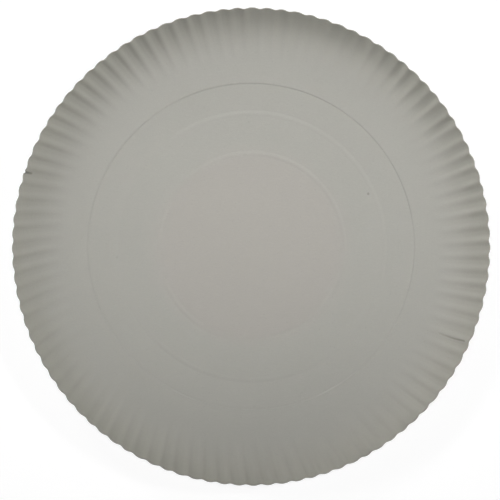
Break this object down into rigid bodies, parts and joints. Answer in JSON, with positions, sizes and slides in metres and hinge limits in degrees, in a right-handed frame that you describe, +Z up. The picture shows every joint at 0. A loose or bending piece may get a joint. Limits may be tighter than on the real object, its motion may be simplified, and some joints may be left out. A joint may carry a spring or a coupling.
{
  "type": "paper plate",
  "caption": "Round disposable paper plate with two embossed rings, a shallow wall and a fluted rim that turns up.",
  "frame": {"origin": "on the plate's axis, at the underside of the flat centre disc that it rests on", "axes": "+Z up along the plate's axis, out of the face that holds the food"},
  "size_m": [0.23, 0.23, 0.015],
  "materials": {
    "paper": "uncoated, matte, warm grey-white"
  },
  "bodies": {
    "root": {"plate": "paper"}
  },
  "joints": []
}
